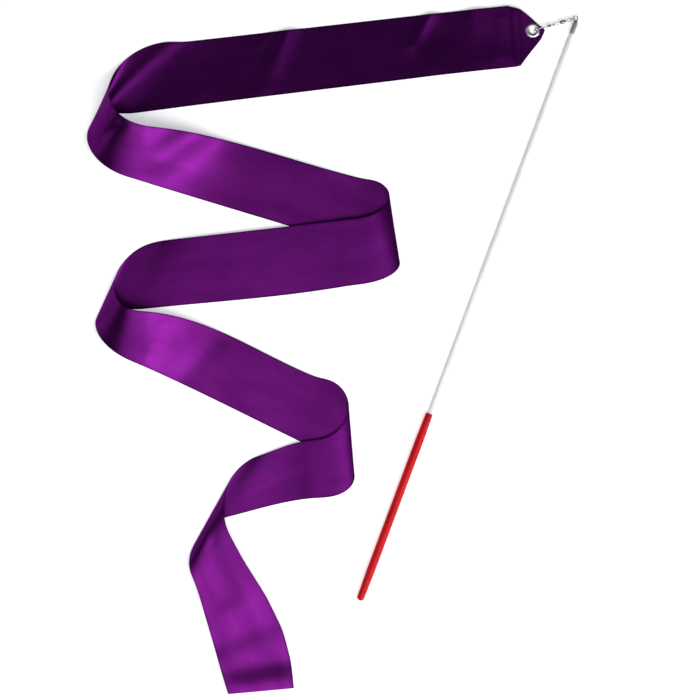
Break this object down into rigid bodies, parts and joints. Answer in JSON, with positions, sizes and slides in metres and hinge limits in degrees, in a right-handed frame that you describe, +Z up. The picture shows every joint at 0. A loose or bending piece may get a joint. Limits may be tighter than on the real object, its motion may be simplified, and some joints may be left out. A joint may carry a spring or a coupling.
{
  "type": "rhythmic ribbon wand",
  "caption": "Slim white wand with a red grip, a wire eye at its tip and a swivelling snap that carries a satin ribbon laid out in a zigzag of soft folds",
  "frame": {"origin": "middle of the laid-out object's box, on the floor it lies on", "axes": "+Z up from the floor; +Y along the laid-out object's longest side, from the ribbon's free end towards the wand's tip; +X to the wand's side. The wand's axis is turned 20.5 degrees from +Y towards +X"},
  "size_m": [0.3632, 0.508, 0.0252],
  "materials": {
    "rod": "white gel-coated fibreglass",
    "grip_sleeve": "glossy red moulded plastic",
    "tip_ferrule": "crimped steel tube",
    "tip_eye": "bent steel wire",
    "jump_ring": "nickel-plated wire",
    "swivel_eye_front": "nickel-plated wire",
    "swivel_barrel": "nickel-plated turned barrel",
    "swivel_eye_rear": "nickel-plated wire",
    "snap_wire": "spring steel wire",
    "snap_gate": "spring steel wire",
    "snap_clasp": "folded sheet metal",
    "grommet": "polished nickel-plated eyelet",
    "grommet_washer": "polished nickel-plated washer",
    "ribbon_head": "deep purple polyester satin",
    "ribbon_head_fold": "deep purple polyester satin",
    "ribbon_run_1": "deep purple polyester satin",
    "ribbon_run_2": "deep purple polyester satin",
    "ribbon_run_3": "deep purple polyester satin",
    "ribbon_run_4": "deep purple polyester satin",
    "ribbon_run_5": "deep purple polyester satin",
    "ribbon_run_6": "deep purple polyester satin",
    "ribbon_fold_1": "deep purple polyester satin",
    "ribbon_fold_2": "deep purple polyester satin",
    "ribbon_fold_3": "deep purple polyester satin",
    "ribbon_fold_4": "deep purple polyester satin",
    "ribbon_fold_5": "deep purple polyester satin"
  },
  "bodies": {
    "wand": {"rod": "rod", "grip_sleeve": "grip_sleeve", "tip_ferrule": "tip_ferrule", "tip_eye": "tip_eye"},
    "ring": {"jump_ring": "jump_ring"},
    "front_eye": {"swivel_eye_front": "swivel_eye_front"},
    "barrel": {"swivel_barrel": "swivel_barrel"},
    "rear_eye": {"swivel_eye_rear": "swivel_eye_rear"},
    "snap": {"snap_wire": "snap_wire", "snap_clasp": "snap_clasp"},
    "gate": {"snap_gate": "snap_gate"},
    "ribbon": {"ribbon_head": "ribbon_head", "ribbon_head_fold": "ribbon_head_fold", "grommet": "grommet", "grommet_washer": "grommet_washer", "ribbon_run_1": "ribbon_run_1", "ribbon_run_2": "ribbon_run_2", "ribbon_run_3": "ribbon_run_3", "ribbon_run_4": "ribbon_run_4", "ribbon_run_5": "ribbon_run_5", "ribbon_run_6": "ribbon_run_6", "ribbon_fold_1": "ribbon_fold_1", "ribbon_fold_2": "ribbon_fold_2", "ribbon_fold_3": "ribbon_fold_3", "ribbon_fold_4": "ribbon_fold_4", "ribbon_fold_5": "ribbon_fold_5"}
  },
  "joints": [
    {"name": "ring_swing", "type": "hinge", "parent": "wand", "child": "ring", "pos_m": [0.17772, 0.24431, 0.0031], "axis": [-0.2854, 0.9584, 0], "range_deg": [-50, 50]},
    {"name": "front_eye_turn", "type": "hinge", "parent": "ring", "child": "front_eye", "pos_m": [0.17523, 0.24357, 0.0031], "axis": [0, 0, 1], "range_deg": [-60, 1]},
    {"name": "barrel_spin", "type": "hinge", "parent": "front_eye", "child": "barrel", "pos_m": [0.172, 0.24261, 0.0031], "axis": [0.9584, 0.2854, 0], "continuous": true},
    {"name": "rear_eye_spin", "type": "hinge", "parent": "barrel", "child": "rear_eye", "pos_m": [0.1676, 0.2413, 0.0031], "axis": [0.9584, 0.2854, 0], "continuous": true},
    {"name": "snap_swing", "type": "hinge", "parent": "rear_eye", "child": "snap", "pos_m": [0.1629, 0.2399, 0.0031], "axis": [-0.2716, 0.9624, 0], "range_deg": [-12, 12]},
    {"name": "snap_gate_opening", "type": "hinge", "parent": "snap", "child": "gate", "pos_m": [0.15039, 0.23637, 0.0002], "axis": [-0.2716, 0.9624, 0], "range_deg": [0, 25], "stiffness_Nm_per_rad": 0.005},
    {"name": "ribbon_turn", "type": "hinge", "parent": "snap", "child": "ribbon", "pos_m": [0.14855, 0.23585, 0.00245], "axis": [0, 0, 1], "range_deg": [-38, 2]}
  ]
}
